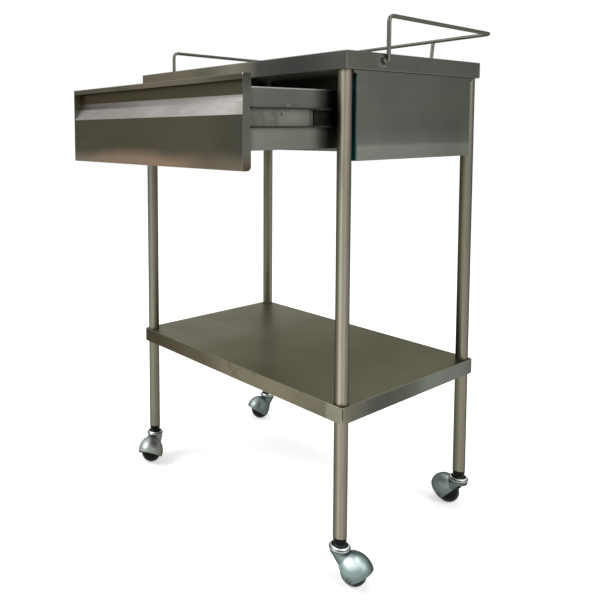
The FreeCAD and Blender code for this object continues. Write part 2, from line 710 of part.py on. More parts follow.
def make_rail_posts():
    """Two leaning posts between the back of the rim and the rail's back bar."""
    radius = size("rail_rod / 2")
    reach = size("tray_length / 2 + rail_rod / 2")
    seat = size("tray_width / 2 + rail_rod / 2")
    behind = size("tray_width / 2 + rail_overhang")
    low, high = size("back_left_rise"), size("back_right_rise")
    posts = []
    for hand, side in SIDES:
        across = side * size("back_post_head / 2")
        level = size("tray_top") + low + (high - low) * (across + reach) / (2 * reach)
        foot = Vector(side * size("back_post_foot / 2"), seat, size(RAIL_FOOT))
        head = Vector(across, behind, level)
        lean = (head - foot).normalize()
        points = [hook(foot, ALONG * side), foot, head - lean * (radius + size("post_gap"))]
        posts.append(bent_rod(points, [size("rail_hook_bend")], radius))
    solid_feature("rail_posts", Part.makeCompound(posts))


def make_rim_rivets():
    """A rivet on each side ties the rim to the side panel."""
    rivets = []
    radius = size("rivet_diameter / 2")
    inner = size("tray_length / 2 - side_inset - panel_sheet")
    outer = size("tray_length / 2")
    along = size(RIVET_ALONG)
    level = size(RIVET_LEVEL)
    for hand, side in SIDES:
        shank = Part.makeCylinder(radius, outer - inner, Vector(side * inner, along, level),
                                  ALONG * side)
        rivets.append(shank)
    solid_feature("rim_rivets", Part.makeCompound(rivets))


# Casters, each in its own frame: swivel axis at the origin, ball trailing along +X
def caster_place(corner, side, depth):
    spot = Vector(side * size(LEG_X), depth * size(LEG_Y), 0)
    return Placement(spot, Rotation(UP, size(f"swivel_{corner}")))


def ball_place():
    """From the axle's own frame, where Z is the axle, to the caster's frame."""
    return Placement(Vector(size("trail"), 0, size("ball_radius")), Rotation(ALONG, -90))


def half_ellipsoid(round_radius, half_width):
    """A solid of revolution about the axle: round in side view, elliptic across."""
    middle = Vector(size("trail + hood_shift"), 0, size("ball_radius + hood_rise"))
    tip = middle + BACK * half_width
    other_tip = middle - BACK * half_width
    out = middle + ALONG * round_radius
    curve = Part.Ellipse(out, tip, middle)
    low = curve.parameter(other_tip)
    high = curve.parameter(tip)
    arc = curve.toShape(low - 2 * math.pi if low > high else low, high)
    profile = Part.Face(Part.Wire([arc, Part.LineSegment(tip, other_tip).toShape()]))
    return profile.revolve(middle, BACK, 360)


def tangent_point(outside, middle, radius, turn):
    """Where the tangent from a point touches a circle, in the X-Z plane."""
    gap = outside - middle
    angle = math.atan2(gap.z, gap.x) + turn * math.acos(radius / gap.Length)
    return middle + Vector(math.cos(angle), 0, math.sin(angle)) * radius


def oblique_cone(head, inset):
    """The web's form, from the neck down towards the ball, made smaller by an inset."""
    level = size("web_foot_level")
    rings = []
    for along, height, radius in ((0, head, size("neck_radius")),
                                  (size("web_foot_along"), level, size("web_foot_radius"))):
        middle = Vector(along, 0, height)
        rings.append(Part.Wire(Part.Circle(middle, UP, radius - inset).toShape()))
    return Part.makeLoft(rings, True, True)


def hood_shape():
    """A pressed hood: rounded shell, neck for the swivel, and an ear at each axle end."""
    wall = size("hood_wall")
    wide = size("hood_half_width")
    hub = Vector(size("trail"), 0, size("ball_radius"))
    outer = half_ellipsoid(size("hood_round"), wide)
    inner = half_ellipsoid(size("hood_round") - wall, wide - wall)
    top = size("neck_top")
    ring = size("neck_ring")
    plate = size("neck_plate")
    neck_radius = size("neck_radius")
    neck = Part.makeCylinder(neck_radius, ring, Vector(0, 0, top - ring))
    shell = outer.fuse([neck, oblique_cone(top - ring, 0)])
    shell = shell.cut([inner, oblique_cone(top - plate, wall)])
    lobe = size("hood_lobe")
    front = Vector(-size("hood_front_reach"), 0, top - plate)
    back = Vector(size("trail + hood_shift + hood_round"), 0, size("hood_back_level"))
    far = size("2 * hood_round")
    corners = [
        Vector(-far, 0, top - plate),
        front,
        tangent_point(front, hub, lobe, 1),
        hub,
        tangent_point(back, hub, lobe, -1),
        back,
        Vector(back.x + far, 0, back.z),
        Vector(back.x + far, 0, far + top),
        Vector(-far, 0, far + top),
        Vector(-far, 0, top - plate),
    ]
    kept = Part.Face(Part.makePolygon(corners)).extrude(BACK * (4 * wide))
    kept.translate(BACK * (-2 * wide))
    ear = Part.makeCylinder(lobe, 4 * wide, hub - BACK * (2 * wide), BACK)
    shell = shell.common(kept.fuse(ear))
    shoulder = size("axle_half")
    bosses = []
    dimples = []
    for side in (1, -1):
        inside = size("ball_flat + wheel_play")
        boss = Part.makeCylinder(size("hood_boss"), wide - wall - inside, hub + BACK * (side * inside),
                                 BACK * side)
        bosses.append(boss)
        dimple = Part.makeCylinder(size("hood_dimple"), wide, hub + BACK * (side * shoulder),
                                   BACK * side)
        dimples.append(dimple)
    shell = shell.fuse(bosses)
    axle_hole = Part.makeCylinder(size("axle_diameter / 2 + running_fit"), 4 * wide,
                                  hub - BACK * (2 * wide), BACK)
    stem_hole = Part.makeCylinder(size("stem_diameter / 2 + running_fit"), 2 * top)
    return shell.cut(dimples + [axle_hole, stem_hole])


def make_casters():
    hood = hood_shape()
    if len(hood.Solids) != 1:
        raise ValueError("a caster hood is not one solid")
    bore = "leg_diameter / 2 - leg_wall - weld_fit"
    for corner, side, depth in CORNERS:
        place = caster_place(corner, side, depth)
        solid_feature(f"caster_hood_{corner}", hood.Solids[0], place)
        make_wheel(f"caster_wheel_{corner}", place)
        axle = turned(f"caster_axle_{corner}", axle_profile())
        axle.Placement = place.multiply(ball_place())
        stem = turned(f"caster_stem_{corner}", [
            ("0", "stem_foot"),
            ("stem_foot_radius", "stem_foot"),
            ("stem_foot_radius", "neck_top - neck_plate - running_fit"),
            ("stem_diameter / 2", "neck_top - neck_plate - running_fit"),
            ("stem_diameter / 2", "stem_top"),
            ("0", "stem_top"),
        ])
        cap = turned(f"caster_cap_{corner}", [
            ("stem_diameter / 2", "cap_bottom"),
            ("cap_radius", "cap_bottom"),
            ("cap_radius", "cap_shoulder - cap_round"),
            ("cap_radius - cap_round", "cap_shoulder"),
            ("cap_neck", "cap_top"),
            ("stem_diameter / 2", "cap_top"),
        ])
        plug = turned(f"caster_plug_{corner}", [
            ("stem_diameter / 2", "cap_top"),
            ("cap_neck", "cap_top"),
            ("leg_diameter / 2", "leg_foot"),
            (bore, "leg_foot"),
            (bore, "leg_foot + plug_reach"),
            ("0", "leg_foot + plug_reach"),
            ("0", "stem_top"),
            ("stem_diameter / 2", "stem_top"),
        ])
        washer = turned(f"caster_washer_{corner}", [
            ("stem_diameter / 2 + running_fit", "neck_top"),
            ("washer_radius", "neck_top"),
            ("washer_radius", "cap_bottom - running_fit"),
            ("stem_diameter / 2 + running_fit", "cap_bottom - running_fit"),
        ])
        for item in (stem, cap, plug, washer):
            item.Placement = place


def axle_profile():
    end = "(axle_half + axle_head_height)"
    return [
        ("0", f"-{end}"),
        ("axle_head", f"-{end}"),
        ("axle_head", "-axle_half"),
        ("axle_diameter / 2", "-axle_half"),
        ("axle_diameter / 2", "axle_half"),
        ("axle_head", "axle_half"),
        ("axle_head", end),
        ("0", end),
    ]


def make_wheel(name, place):
    """A ball with flat sides and a bore for the axle."""
    ball = doc.addObject("Part::Sphere", f"{name}_ball")
    bore = doc.addObject("Part::Cylinder", f"{name}_bore")
    bind(ball, Radius="ball_radius")
    bind(ball, Angle1="-asin(ball_flat / ball_radius)", Angle2="asin(ball_flat / ball_radius)")
    bind(bore, Radius="axle_diameter / 2 + running_fit", Height="2 * ball_radius")
    bind(bore, Placement__Base__z="-ball_radius")
    wheel = doc.addObject("Part::Cut", name)
    wheel.Base = ball
    wheel.Tool = bore
    wheel.Placement = place.multiply(ball_place())
    keep(wheel, name)


def check_and_write():
    """Every object has to be sound before a file is written."""
    doc.recompute()
    for item in doc.Objects:
        if {"Invalid", "Error"} & set(item.State):
            raise ValueError(f"{item.Label} failed: {item.State}")
    os.makedirs("parts", exist_ok=True)
    for item in nodes:
        if item.Shape.isNull() or not item.Shape.isValid():
            raise ValueError(f"{item.Label} has no sound shape")
    for item in nodes:
        item.Shape.exportStep(f"parts/{item.Label}.step")


make_top()
make_shelf()
make_legs()
make_welds()
make_panels()
make_slides()
make_drawer_screws()
make_drawer_front()
make_drawer_box()
make_guard_rail()
make_rail_posts()
make_rim_rivets()
make_casters()
check_and_write()
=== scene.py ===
"""Instrument table in brushed stainless steel, seen as in the photograph."""
import math

import bpy
import numpy as np
from mathutils import Matrix, Vector


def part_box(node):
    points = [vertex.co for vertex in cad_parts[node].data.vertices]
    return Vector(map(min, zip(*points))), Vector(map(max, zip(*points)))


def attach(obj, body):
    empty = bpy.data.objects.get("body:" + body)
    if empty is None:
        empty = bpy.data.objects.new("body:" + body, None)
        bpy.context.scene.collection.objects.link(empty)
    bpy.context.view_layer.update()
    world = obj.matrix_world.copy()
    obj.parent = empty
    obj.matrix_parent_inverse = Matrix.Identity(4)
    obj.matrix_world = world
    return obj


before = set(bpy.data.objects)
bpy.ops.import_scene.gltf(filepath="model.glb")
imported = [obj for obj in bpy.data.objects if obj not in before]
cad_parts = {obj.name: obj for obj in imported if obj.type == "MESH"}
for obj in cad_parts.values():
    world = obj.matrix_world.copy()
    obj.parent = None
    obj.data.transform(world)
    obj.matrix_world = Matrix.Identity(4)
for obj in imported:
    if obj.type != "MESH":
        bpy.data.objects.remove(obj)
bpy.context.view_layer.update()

AXES = {"X": 0, "Y": 1, "Z": 2}
SIDES = (("left", -1), ("right", 1))
CORNERS = ("front_left", "front_right", "back_left", "back_right")
RIM_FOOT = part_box("top_tray")[0][2]
TOP_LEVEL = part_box("top_tray")[1][2]
SHELF_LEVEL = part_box("shelf_tray")[1][2]


# Colours
SCREEN_TOE = 11
SCREEN_SLOPE = 12.92
SCREEN_OFFSET = 0.055
SCREEN_POWER = 2.4


def screen(red, green, blue):
    """Linear colour of an 8-bit screen colour."""
    return tuple(
        c / 255 / SCREEN_SLOPE if c < SCREEN_TOE
        else ((c / 255 + SCREEN_OFFSET) / (1 + SCREEN_OFFSET)) ** SCREEN_POWER
        for c in (red, green, blue)) + (1.0,)


WHITE = (1.0, 1.0, 1.0, 1.0)
OLIVE_DARK = screen(74, 72, 60)
# painted highlight colour for the light edges of the shelf rim and the drawer front
OLIVE_HIGHLIGHT = screen(134, 131, 114)
BROWN = screen(84, 76, 62)
RUST = screen(84, 70, 46)
# painted highlight colour for the light lines on the top's rim and hem
GREY_HIGHLIGHT = screen(150, 152, 147)
# painted highlight colour for the top's welded corner seam
SEAM_HIGHLIGHT = screen(150, 150, 138)
# painted shade colour for the line on the panels under the top's rim
GAP_SHADE = screen(14, 14, 11)
SHADE_DARK = screen(36, 37, 32)


# Node graphs: sockets of a Mix node that mixes colours, and how far a face may turn away
MIX_COLOUR_INPUTS = (0, 6, 7)
MIX_COLOUR_OUTPUT = 2
FACE_TURN = 0.6


class Finish:
    """A procedural metal or plastic, worked out on Object coordinates in metres."""

    def __init__(self, name):
        self.material = bpy.data.materials.new(name)
        self.material.use_nodes = True
        self.tree = self.material.node_tree
        self.shader = self.tree.nodes["Principled BSDF"]
        where = self.add("ShaderNodeTexCoord").outputs
        self.place = where["Object"]
        self.normal = where["Normal"]
        self.parts = self.add("ShaderNodeSeparateXYZ", Vector=self.place).outputs
        self.facing = self.add("ShaderNodeSeparateXYZ", Vector=self.normal).outputs

    def add(self, kind, **inputs):
        node = self.tree.nodes.new(kind)
        for name, value in inputs.items():
            self.put(node.inputs[name], value)
        return node

    def put(self, socket, value):
        """Links a socket to another node, or gives it a value of its own."""
        if isinstance(value, bpy.types.NodeSocket):
            self.tree.links.new(value, socket)
        else:
            socket.default_value = value

    def maths(self, operation, first, second=0.0, third=0.0):
        node = self.add("ShaderNodeMath")
        node.operation = operation
        for socket, value in zip(node.inputs, (first, second, third)):
            self.put(socket, value)
        return node.outputs[0]

    def both(self, first, second):
        """1 where two shares are both 1, 0 where one of them is 0."""
        return self.maths("MULTIPLY", first, second)

    def stretched(self, scale):
        """The place on the piece, scaled by its own factor along each axis."""
        return self.add("ShaderNodeMapping", Vector=self.place, Scale=scale).outputs[0]

    def noise(self, scale, detail=3.0, vector=None, rough=0.55):
        node = self.add("ShaderNodeTexNoise", Scale=scale, Detail=detail, Roughness=rough)
        self.put(node.inputs["Vector"], vector or self.place)
        return node.outputs["Fac"]

    def span(self, value, low, high, first=0.0, last=1.0):
        """Brings a value from low..high to first..last, with a soft start and end."""
        node = self.add("ShaderNodeMapRange", Value=value)
        node.interpolation_type = "SMOOTHSTEP"
        for name, number in zip(("From Min", "From Max", "To Min", "To Max"),
                                (low, high, first, last)):
            self.put(node.inputs[name], number)
        return node.outputs[0]

    def ramp(self, value, stops):
        """A soft colour ramp; stops are pairs of place and screen colour."""
        node = self.add("ShaderNodeValToRGB", Fac=value)
        bar = node.color_ramp
        bar.interpolation = "EASE"
        while len(bar.elements) < len(stops):
            bar.elements.new(0.5)
        for element, (place, colour) in zip(bar.elements, stops):
            element.position = place
            element.color = screen(*colour)
        return node.outputs["Color"]

    def along(self, axis, low, high, stops, wander=0.0):
        """A colour ramp along X, Y or Z of the piece, its lines bent a little by noise."""
        node = self.add("ShaderNodeMapRange", Value=self.parts[axis])
        node.inputs["From Min"].default_value = low
        node.inputs["From Max"].default_value = high
        value = node.outputs[0]
        if wander:
            bend = self.noise(scale=7.0, detail=2.0)
            drift = self.maths("MULTIPLY_ADD", bend, wander, -wander / 2)
            value = self.maths("ADD", value, drift)
        return self.ramp(value, stops)

    def mix(self, share, first, second, kind="MIX"):
        """From the first colour to the second as the share goes from 0 to 1."""
        node = self.tree.nodes.new("ShaderNodeMix")
        node.data_type = "RGBA"
        node.blend_type = kind
        for socket, value in zip(MIX_COLOUR_INPUTS, (share, first, second)):
            self.put(node.inputs[socket], value)
        return node.outputs[MIX_COLOUR_OUTPUT]

    def over(self, colour, tone, share, strength=1.0):
        """Lays a tone over a colour where the share is 1, as strongly as told."""
        if strength != 1.0:
            share = self.maths("MULTIPLY", share, strength)
        return self.mix(share, colour, tone)

    def turned(self, axis, way):
        """1 where the face looks along one way of an axis, else 0."""
        signed = self.maths("MULTIPLY", self.facing[axis], way)
        return self.maths("GREATER_THAN", signed, FACE_TURN)

    def facing_along(self, axis):
        """1 where the face looks either way along an axis, else 0."""
        return self.maths("GREATER_THAN", self.maths("ABSOLUTE", self.facing[axis]), FACE_TURN)

    def near(self, axis, place, reach):
        """1 at a place along an axis, fading to 0 at a distance from it."""
        gap = self.maths("ABSOLUTE", self.maths("SUBTRACT", self.parts[axis], place))
        return self.span(gap, 0.0, reach, 1.0, 0.0)

    def shade(self, colour, share, amount):
        """Multiplies a colour by 1 - amount .. 1 + amount as the share goes from 0 to 1."""
        factor = self.maths("MULTIPLY_ADD", share, 2 * amount, 1 - amount)
        grey = self.add("ShaderNodeCombineColor", Red=factor, Green=factor, Blue=factor)
        return self.mix(1.0, colour, grey.outputs[0], "MULTIPLY")

    def bump(self, height, strength, distance):
        node = self.add("ShaderNodeBump", Strength=strength, Distance=distance, Height=height)
        self.put(self.shader.inputs["Normal"], node.outputs[0])

    def done(self, *names):
        """Gives the finish to CAD nodes and pieces."""
        for name in names:
            item = bpy.data.objects[name]
            item.data.materials.clear()
            item.data.materials.append(self.material)


# Brushed sheet and moulded plastic
EDGE_SHEEN = (0.35, 0.35, 0.35, 1.0)
GRAIN_ALONG = 3.0
GRAIN_ACROSS = 900.0
BANDS_LONGER = 2
BANDS_WIDER = 12
SCRATCH_DEPTH = 0.0002
SPECKS_FROM, SPECKS_TO = 0.74, 0.80
CLOUD_WEAR = 0.16
LINE_WEAR = 0.10


def drawn_out(finish, grain, along, across):
    """The place on the piece, scaled so that a pattern runs along the grain's axis."""
    scale = [across] * 3
    scale[AXES[grain]] = along
    return finish.stretched(tuple(scale))


def brushed(name, colour, grain="X", rough=0.3, streak=0.07, smudge=0.10):
    """Brushed sheet: fine lines along one axis, soft cloudy smudges, a few scratches.

    colour is a function of the finish that returns the broad colour.
    """
    finish = Finish(name)
    shader = finish.shader.inputs
    shader["Metallic"].default_value = 1.0
    shader["Specular Tint"].default_value = EDGE_SHEEN
    fine = drawn_out(finish, grain, GRAIN_ALONG, GRAIN_ACROSS)
    wide = drawn_out(finish, grain, GRAIN_ALONG / BANDS_LONGER, GRAIN_ACROSS / BANDS_WIDER)
    lines = finish.noise(scale=1.0, detail=2.0, vector=fine, rough=0.6)
    bands = finish.noise(scale=1.0, vector=wide)
    clouds = finish.noise(scale=9.0, detail=4.0)
    specks = finish.noise(scale=420.0, detail=1.0)
    base = finish.shade(colour(finish), lines, streak)
    base = finish.shade(base, bands, streak)
    base = finish.shade(base, clouds, smudge)
    spot = finish.span(specks, SPECKS_FROM, SPECKS_TO)
    finish.put(shader["Base Color"], finish.over(base, OLIVE_DARK, spot, strength=0.25))
    worn = finish.maths("MULTIPLY_ADD", clouds, CLOUD_WEAR, rough - CLOUD_WEAR / 2)
    finish.put(shader["Roughness"], finish.maths("MULTIPLY_ADD", lines, LINE_WEAR, worn))
    finish.bump(lines, strength=0.10, distance=SCRATCH_DEPTH)
    return finish


def plain(red, green, blue):
    """A broad colour that is the same all over, for small parts."""
    return lambda finish: screen(red, green, blue)


MOTTLE_TONE = screen(20, 19, 17)
MOTTLE_WEAR = 0.2


def moulded(name, colour, rough):
    """Black moulded plastic: faint mottling and a fine orange-peel surface."""
    finish = Finish(name)
    shader = finish.shader.inputs
    mottle = finish.noise(scale=60.0)
    peel = finish.noise(scale=900.0, detail=2.0)
    base = finish.mix(mottle, colour, MOTTLE_TONE)
    finish.put(shader["Base Color"], finish.shade(base, peel, 0.1))
    shader["Specular IOR Level"].default_value = 0.08
    worn = finish.maths("MULTIPLY_ADD", mottle, MOTTLE_WEAR, rough - MOTTLE_WEAR / 2)
    finish.put(shader["Roughness"], worn)
    finish.bump(peel, strength=0.15, distance=SCRATCH_DEPTH)
    return finish


# Top: painted highlights on its edges and along the welded corner seam, fading upwards, and heat
# round the rail's hooks.
# These and the other widths and places below are in metres.
RIM_EDGE = 0.0022
HEM_EDGE = 0.0018
CORNER_SEAM = 0.0016
SEAM_FADE_FROM, SEAM_FADE_TO = 0.020, 0.012
SEAM_STRONG, SEAM_FAINT = 0.32, 0.04
HOOK_ALONG, HEAT_ALONG = -0.124, 0.018
HOOK_LEVEL, HEAT_UP = 0.991, 0.016
HEAT_GAIN = 2.2
HEAT_MOST = 0.85


def tray_colour(finish):
    """Painted reflections: the front rim brownish at the left and dark grey at the right; side
    rims olive grey.
    """
    low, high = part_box("top_tray")
    # painted reflections on the front rim, the side rims and the top
    front = finish.along("X", low[0], high[0], (
        (0.0, (103, 98, 85)), (0.30, (109, 103, 89)), (0.37, (98, 96, 83)),
        (0.55, (123, 120, 106)), (0.62, (106, 103, 92)), (0.66, (74, 74, 70)),
        (0.82, (65, 65, 63)), (1.0, (79, 79, 76))), wander=0.04)
    side = finish.along("Y", low[1], high[1], (
        (0.0, (90, 91, 82)), (0.2, (88, 91, 83)), (1.0, (90, 93, 86))), wander=0.1)
    top = finish.along("Y", low[1], high[1], (
        (0.0, (112, 112, 104)), (0.5, (98, 98, 89)), (1.0, (114, 114, 106))), wander=0.25)
    colour = finish.over(front, side, finish.facing_along("X"))
    colour = finish.over(colour, top, finish.turned("Z", 1))
    # painted highlight along the top edge of the rim
    rim = finish.near("Z", high[2], RIM_EDGE)
    colour = finish.over(colour, GREY_HIGHLIGHT, rim, strength=0.35)
    # painted highlight along the welded corner seam, fading upwards
    seam_highlight = finish.both(finish.near("X", high[0], CORNER_SEAM),
                       finish.near("Y", low[1], CORNER_SEAM))
    fade = finish.span(finish.parts["Z"], high[2] - SEAM_FADE_FROM, high[2] - SEAM_FADE_TO,
                       SEAM_STRONG, SEAM_FAINT)
    colour = finish.over(colour, SEAM_HIGHLIGHT, finish.both(seam_highlight, fade))
    # painted highlight along the hem at the rim's foot
    hem = finish.both(finish.near("Z", low[2], HEM_EDGE), finish.facing_along("X"))
    return finish.over(colour, GREY_HIGHLIGHT, hem, strength=0.45)


def dull_at_hooks(finish):
    """Round the rail's hooks the weld's heat has taken the shine off the rim."""
    heat = finish.both(finish.near("Y", HOOK_ALONG, HEAT_ALONG),
                       finish.near("Z", HOOK_LEVEL, HEAT_UP))
    heat = finish.maths("MINIMUM", finish.maths("MULTIPLY", heat, HEAT_GAIN), HEAT_MOST)
    finish.put(finish.shader.inputs["Metallic"], finish.maths("SUBTRACT", 1.0, heat))
    return finish


# Lower shelf: brown round the legs and in stains along its front rim
LEG_STAIN = 0.022
LEG_PLACE = tuple(sum(corner[axis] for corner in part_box("leg_back_right")) / 2
                  for axis in (0, 1))


def shelf_colour(finish):
    """Dark olive sheet with a soft painted sheen, and a rim whose painted reflections lighten to
    the middle.
    """
    low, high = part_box("shelf_tray")
    # painted reflections on the top, the front rim and the side rims
    top = finish.along("X", low[0], high[0], (
        (0.0, (142, 140, 124)), (0.26, (136, 134, 118)), (0.40, (127, 125, 108)),
        (0.7, (118, 116, 99)), (1.0, (121, 119, 102))), wander=0.16)
    front = finish.along("X", low[0], high[0], (
        (0.0, (61, 60, 50)), (0.2, (73, 69, 57)), (0.34, (82, 78, 65)),
        (0.55, (106, 102, 85)), (0.75, (109, 105, 87)), (0.9, (100, 97, 81)),
        (0.935, (97, 94, 78)), (0.945, (122, 120, 104)), (1.0, (124, 124, 110))), wander=0.02)
    stained = finish.span(finish.noise(scale=34.0), 0.56, 0.66)
    front = finish.over(front, RUST, stained, strength=0.4)
    side = finish.along("Y", low[1], high[1], (
        (0.0, (106, 104, 92)), (0.08, (90, 89, 80)), (0.22, (76, 77, 71)),
        (0.42, (79, 82, 74)), (0.66, (108, 112, 104)), (0.85, (107, 109, 103)),
        (1.0, (98, 101, 94))), wander=0.06)
    colour = finish.over(front, side, finish.facing_along("X"))
    colour = finish.over(colour, top, finish.turned("Z", 1))
    # painted highlight along the rim's top edge
    rim = finish.both(finish.near("Z", high[2], RIM_EDGE), finish.facing_along("X"))
    colour = finish.over(colour, OLIVE_HIGHLIGHT, rim, strength=0.5)
    brown = 0.0
    for across in (-1, 1):
        column = finish.near("X", across * LEG_PLACE[0], LEG_STAIN)
        for depth in (-1, 1):
            row = finish.near("Y", depth * LEG_PLACE[1], LEG_STAIN)
            brown = finish.maths("MULTIPLY_ADD", column, row, brown)
    return finish.over(colour, BROWN, brown, strength=0.6)


# Panels of the housing: painted reflections, and teal film in the folds beside the legs with
# painted shade and highlight
FOLD_SEEN = 0.020
RIM_SHADE_LINE = 0.0020


def panel_colour(finish):
    """Warm grey with a painted reflection, a pale band over its foot; the folded edges look
    green.
    """
    low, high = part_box("side_panel_right")
    # painted reflection: paler over the foot, changing a little along the depth
    tall = finish.along("Z", low[2], high[2], (
        (0.0, (118, 120, 114)), (0.11, (121, 123, 117)), (0.17, (99, 101, 95)),
        (0.30, (91, 93, 87)), (0.55, (93, 94, 88)), (0.8, (92, 93, 88)),
        (1.0, (93, 94, 88))), wander=0.05)
    deep = finish.along("Y", low[1], high[1], (
        (0.0, (255, 255, 252)), (0.4, (252, 252, 250)), (0.8, (240, 243, 238)),
        (1.0, (244, 247, 240))), wander=0.1)
    colour = finish.mix(1.0, tall, deep, "MULTIPLY")
    # painted shade: a dark line on the panel under the rim
    colour = finish.over(colour, GAP_SHADE, finish.near("Z", RIM_FOOT, RIM_SHADE_LINE), strength=0.95)
    # the folded edges: teal film, with painted shade deep in the fold beside the leg and a
    # painted highlight on the bend
    out = finish.maths("ABSOLUTE", finish.parts["X"])
    edge = finish.ramp(finish.span(out, high[0] - FOLD_SEEN, high[0]), (
        (0.0, (12, 34, 30)), (0.35, (26, 92, 88)), (0.55, (38, 142, 136)),
        (0.84, (48, 156, 148)), (1.0, (236, 255, 250))))
    return finish.over(colour, edge, finish.facing_along("Y"))


def back_colour(finish):
    """The back panel: a painted reflection paler at its foot, then an even warm grey."""
    low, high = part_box("back_panel")
    return finish.along("Z", low[2], high[2], (
        (0.0, (112, 114, 108)), (0.2, (96, 98, 92)), (1.0, (90, 91, 84))), wander=0.08)


# Drawer front: painted reflections and highlights, the warm edge over its foot, the lip over the
# finger pull, and the pull in painted light and shade
WARM_FROM, WARM_TO = 0.004, 0.036
WARM_DRIFT = 0.030
LIP_HEIGHT = 0.02
FRONT_EDGE = 0.0025
CORNER_SHINE = 0.004
SLOPE_TURN = (0.2, 0.8)
SLOPE_GRAIN = (30, 160, 160)
PULL_DEPTH = 0.012
PULL_BACK = 0.0383
MIRROR_HEIGHT = 0.0055
MIRROR_SLANT = 0.004
MIRROR_SOFT = 0.0012
# painted highlight colour for the drawer front's upper corner
SHINE = screen(236, 236, 226)
# painted light on the inner side faces of the drawer front
INNER_SIDE_LIT = screen(160, 160, 140)


def pull_colours(finish, low, high):
    """The finger pull: its slope in painted light, and its back wall in painted shade.

    The wall carries a painted reflection of the slope in a strip over its foot.
    """
    slope = finish.along("X", low[0], high[0], (
        (0.0, (150, 148, 143)), (0.3, (147, 144, 139)), (0.65, (150, 146, 142)),
        (0.92, (152, 148, 145)), (1.0, (126, 124, 118))), wander=0.08)
    scratch = finish.noise(scale=1.0, detail=4.0, vector=finish.stretched(SLOPE_GRAIN))
    slope = finish.shade(slope, finish.span(scratch, 0.4, 0.7), 0.06)
    # painted shade on the back wall of the recess
    wall = finish.along("X", low[0], high[0], (
        (0.0, (73, 66, 54)), (1.0, (72, 70, 56))), wander=0.2)
    # painted reflection of the slope over the wall's foot
    mirrored = finish.along("X", low[0], high[0], (
        (0.0, (98, 96, 92)), (0.2, (108, 106, 102)), (0.5, (132, 129, 125)),
        (1.0, (150, 147, 143))), wander=0.08)
    above = finish.maths("SUBTRACT", finish.parts["Z"], high[2] - PULL_BACK)
    reach = finish.maths("MULTIPLY_ADD", finish.parts["X"], -MIRROR_SLANT, MIRROR_HEIGHT)
    strip = finish.span(finish.maths("SUBTRACT", reach, above), 0.0, MIRROR_SOFT)
    return slope, finish.over(wall, mirrored, strip)


def front_colour(finish):
    """Dark olive face with painted reflections, a warm lower edge, painted highlights on its
    edges and upper corner.
    """
    low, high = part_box("drawer_front")
    warm = finish.along("X", low[0], high[0], (
        (0.0, (118, 113, 100)), (0.3, (137, 119, 102)), (0.62, (139, 118, 100)),
        (0.85, (104, 95, 82)), (1.0, (106, 98, 85))), wander=0.06)
    # painted reflections across the face, and next across the lip
    face = finish.along("X", low[0], high[0], (
        (0.0, (80, 79, 68)), (0.5, (80, 77, 65)), (0.8, (80, 77, 66)),
        (1.0, (70, 69, 59))), wander=0.06)
    lip = finish.along("X", low[0], high[0], (
        (0.0, (89, 88, 78)), (0.35, (89, 87, 75)), (0.55, (108, 103, 89)),
        (0.75, (104, 98, 85)), (0.9, (84, 82, 70)), (1.0, (74, 70, 58))), wander=0.04)
    bend = finish.noise(scale=9.0)
    drift = finish.maths("MULTIPLY_ADD", bend, WARM_DRIFT, -WARM_DRIFT / 2)
    level = finish.maths("ADD", finish.parts["Z"], drift)
    lower = finish.span(level, low[2] + WARM_FROM, low[2] + WARM_TO, 1.0, 0.0)
    colour = finish.over(face, warm, lower)
    upper = finish.maths("GREATER_THAN", finish.parts["Z"], high[2] - LIP_HEIGHT)
    colour = finish.over(colour, lip, upper)
    # painted highlights along the lower, upper and right edges
    for axis, place, strength in (("Z", low[2], 0.5), ("Z", high[2], 0.6), ("X", high[0], 0.35)):
        edge = finish.near(axis, place, FRONT_EDGE)
        colour = finish.over(colour, OLIVE_HIGHLIGHT, edge, strength)
    # painted highlight on the upper right corner
    corner = finish.both(finish.near("X", high[0], CORNER_SHINE),
                         finish.near("Z", high[2], CORNER_SHINE))
    colour = finish.over(colour, SHINE, corner)
    slope, wall = pull_colours(finish, low, high)
    # painted light: the slope faces upwards and is lighter than the face
    lifted = finish.maths("GREATER_THAN", finish.facing["Z"], SLOPE_TURN[0])
    upright = finish.maths("LESS_THAN", finish.facing["Z"], SLOPE_TURN[1])
    colour = finish.over(colour, slope, finish.both(lifted, upright))
    # painted shade on the pull's back wall, with its painted reflection strip
    behind = finish.maths("GREATER_THAN", finish.parts["Y"], low[1] + PULL_DEPTH)
    colour = finish.over(colour, wall, finish.both(behind, finish.turned("Y", -1)))
    # the return: painted shade, darker towards its top; its inner side faces in painted light
    side = finish.along("Z", low[2], high[2], (
        (0.0, (74, 62, 48)), (0.1, (84, 80, 70)), (0.2, (90, 91, 84)),
        (0.75, (84, 85, 78)), (1.0, (62, 63, 55))), wander=0.03)
    side = finish.over(side, INNER_SIDE_LIT, finish.maths("LESS_THAN", finish.parts["X"], 0.0))
    return finish.over(colour, side, finish.turned("X", 1))


# Drawer box and slides; the housing's shade falls on the slides a little ahead of the panels
BOX_HEM = 0.003
# painted highlight colour for the drawer box's hem
BOX_HEM_HIGHLIGHT = screen(186, 188, 180)
FOOT_LIGHT_FROM, FOOT_LIGHT_TO = 0.03, 0.06
FRONT_LIGHT_FROM, FRONT_LIGHT_TO = 0.02, 0.17
FRONT_LIGHT, BACK_LIGHT = 1.3, 0.7
SHADE_AHEAD = 0.052
HANDLED_TO, CLEAN_FROM = 0.065, 0.085
SMUDGE_TONE = screen(84, 85, 76)
# painted shade colour for the slide's lips
LIP_SHADE = screen(50, 52, 46)
# painted shade colours for the inner slide members
INNER_SHADE_DARK = screen(26, 28, 24)
INNER_SHADE_LIGHT = screen(44, 46, 40)


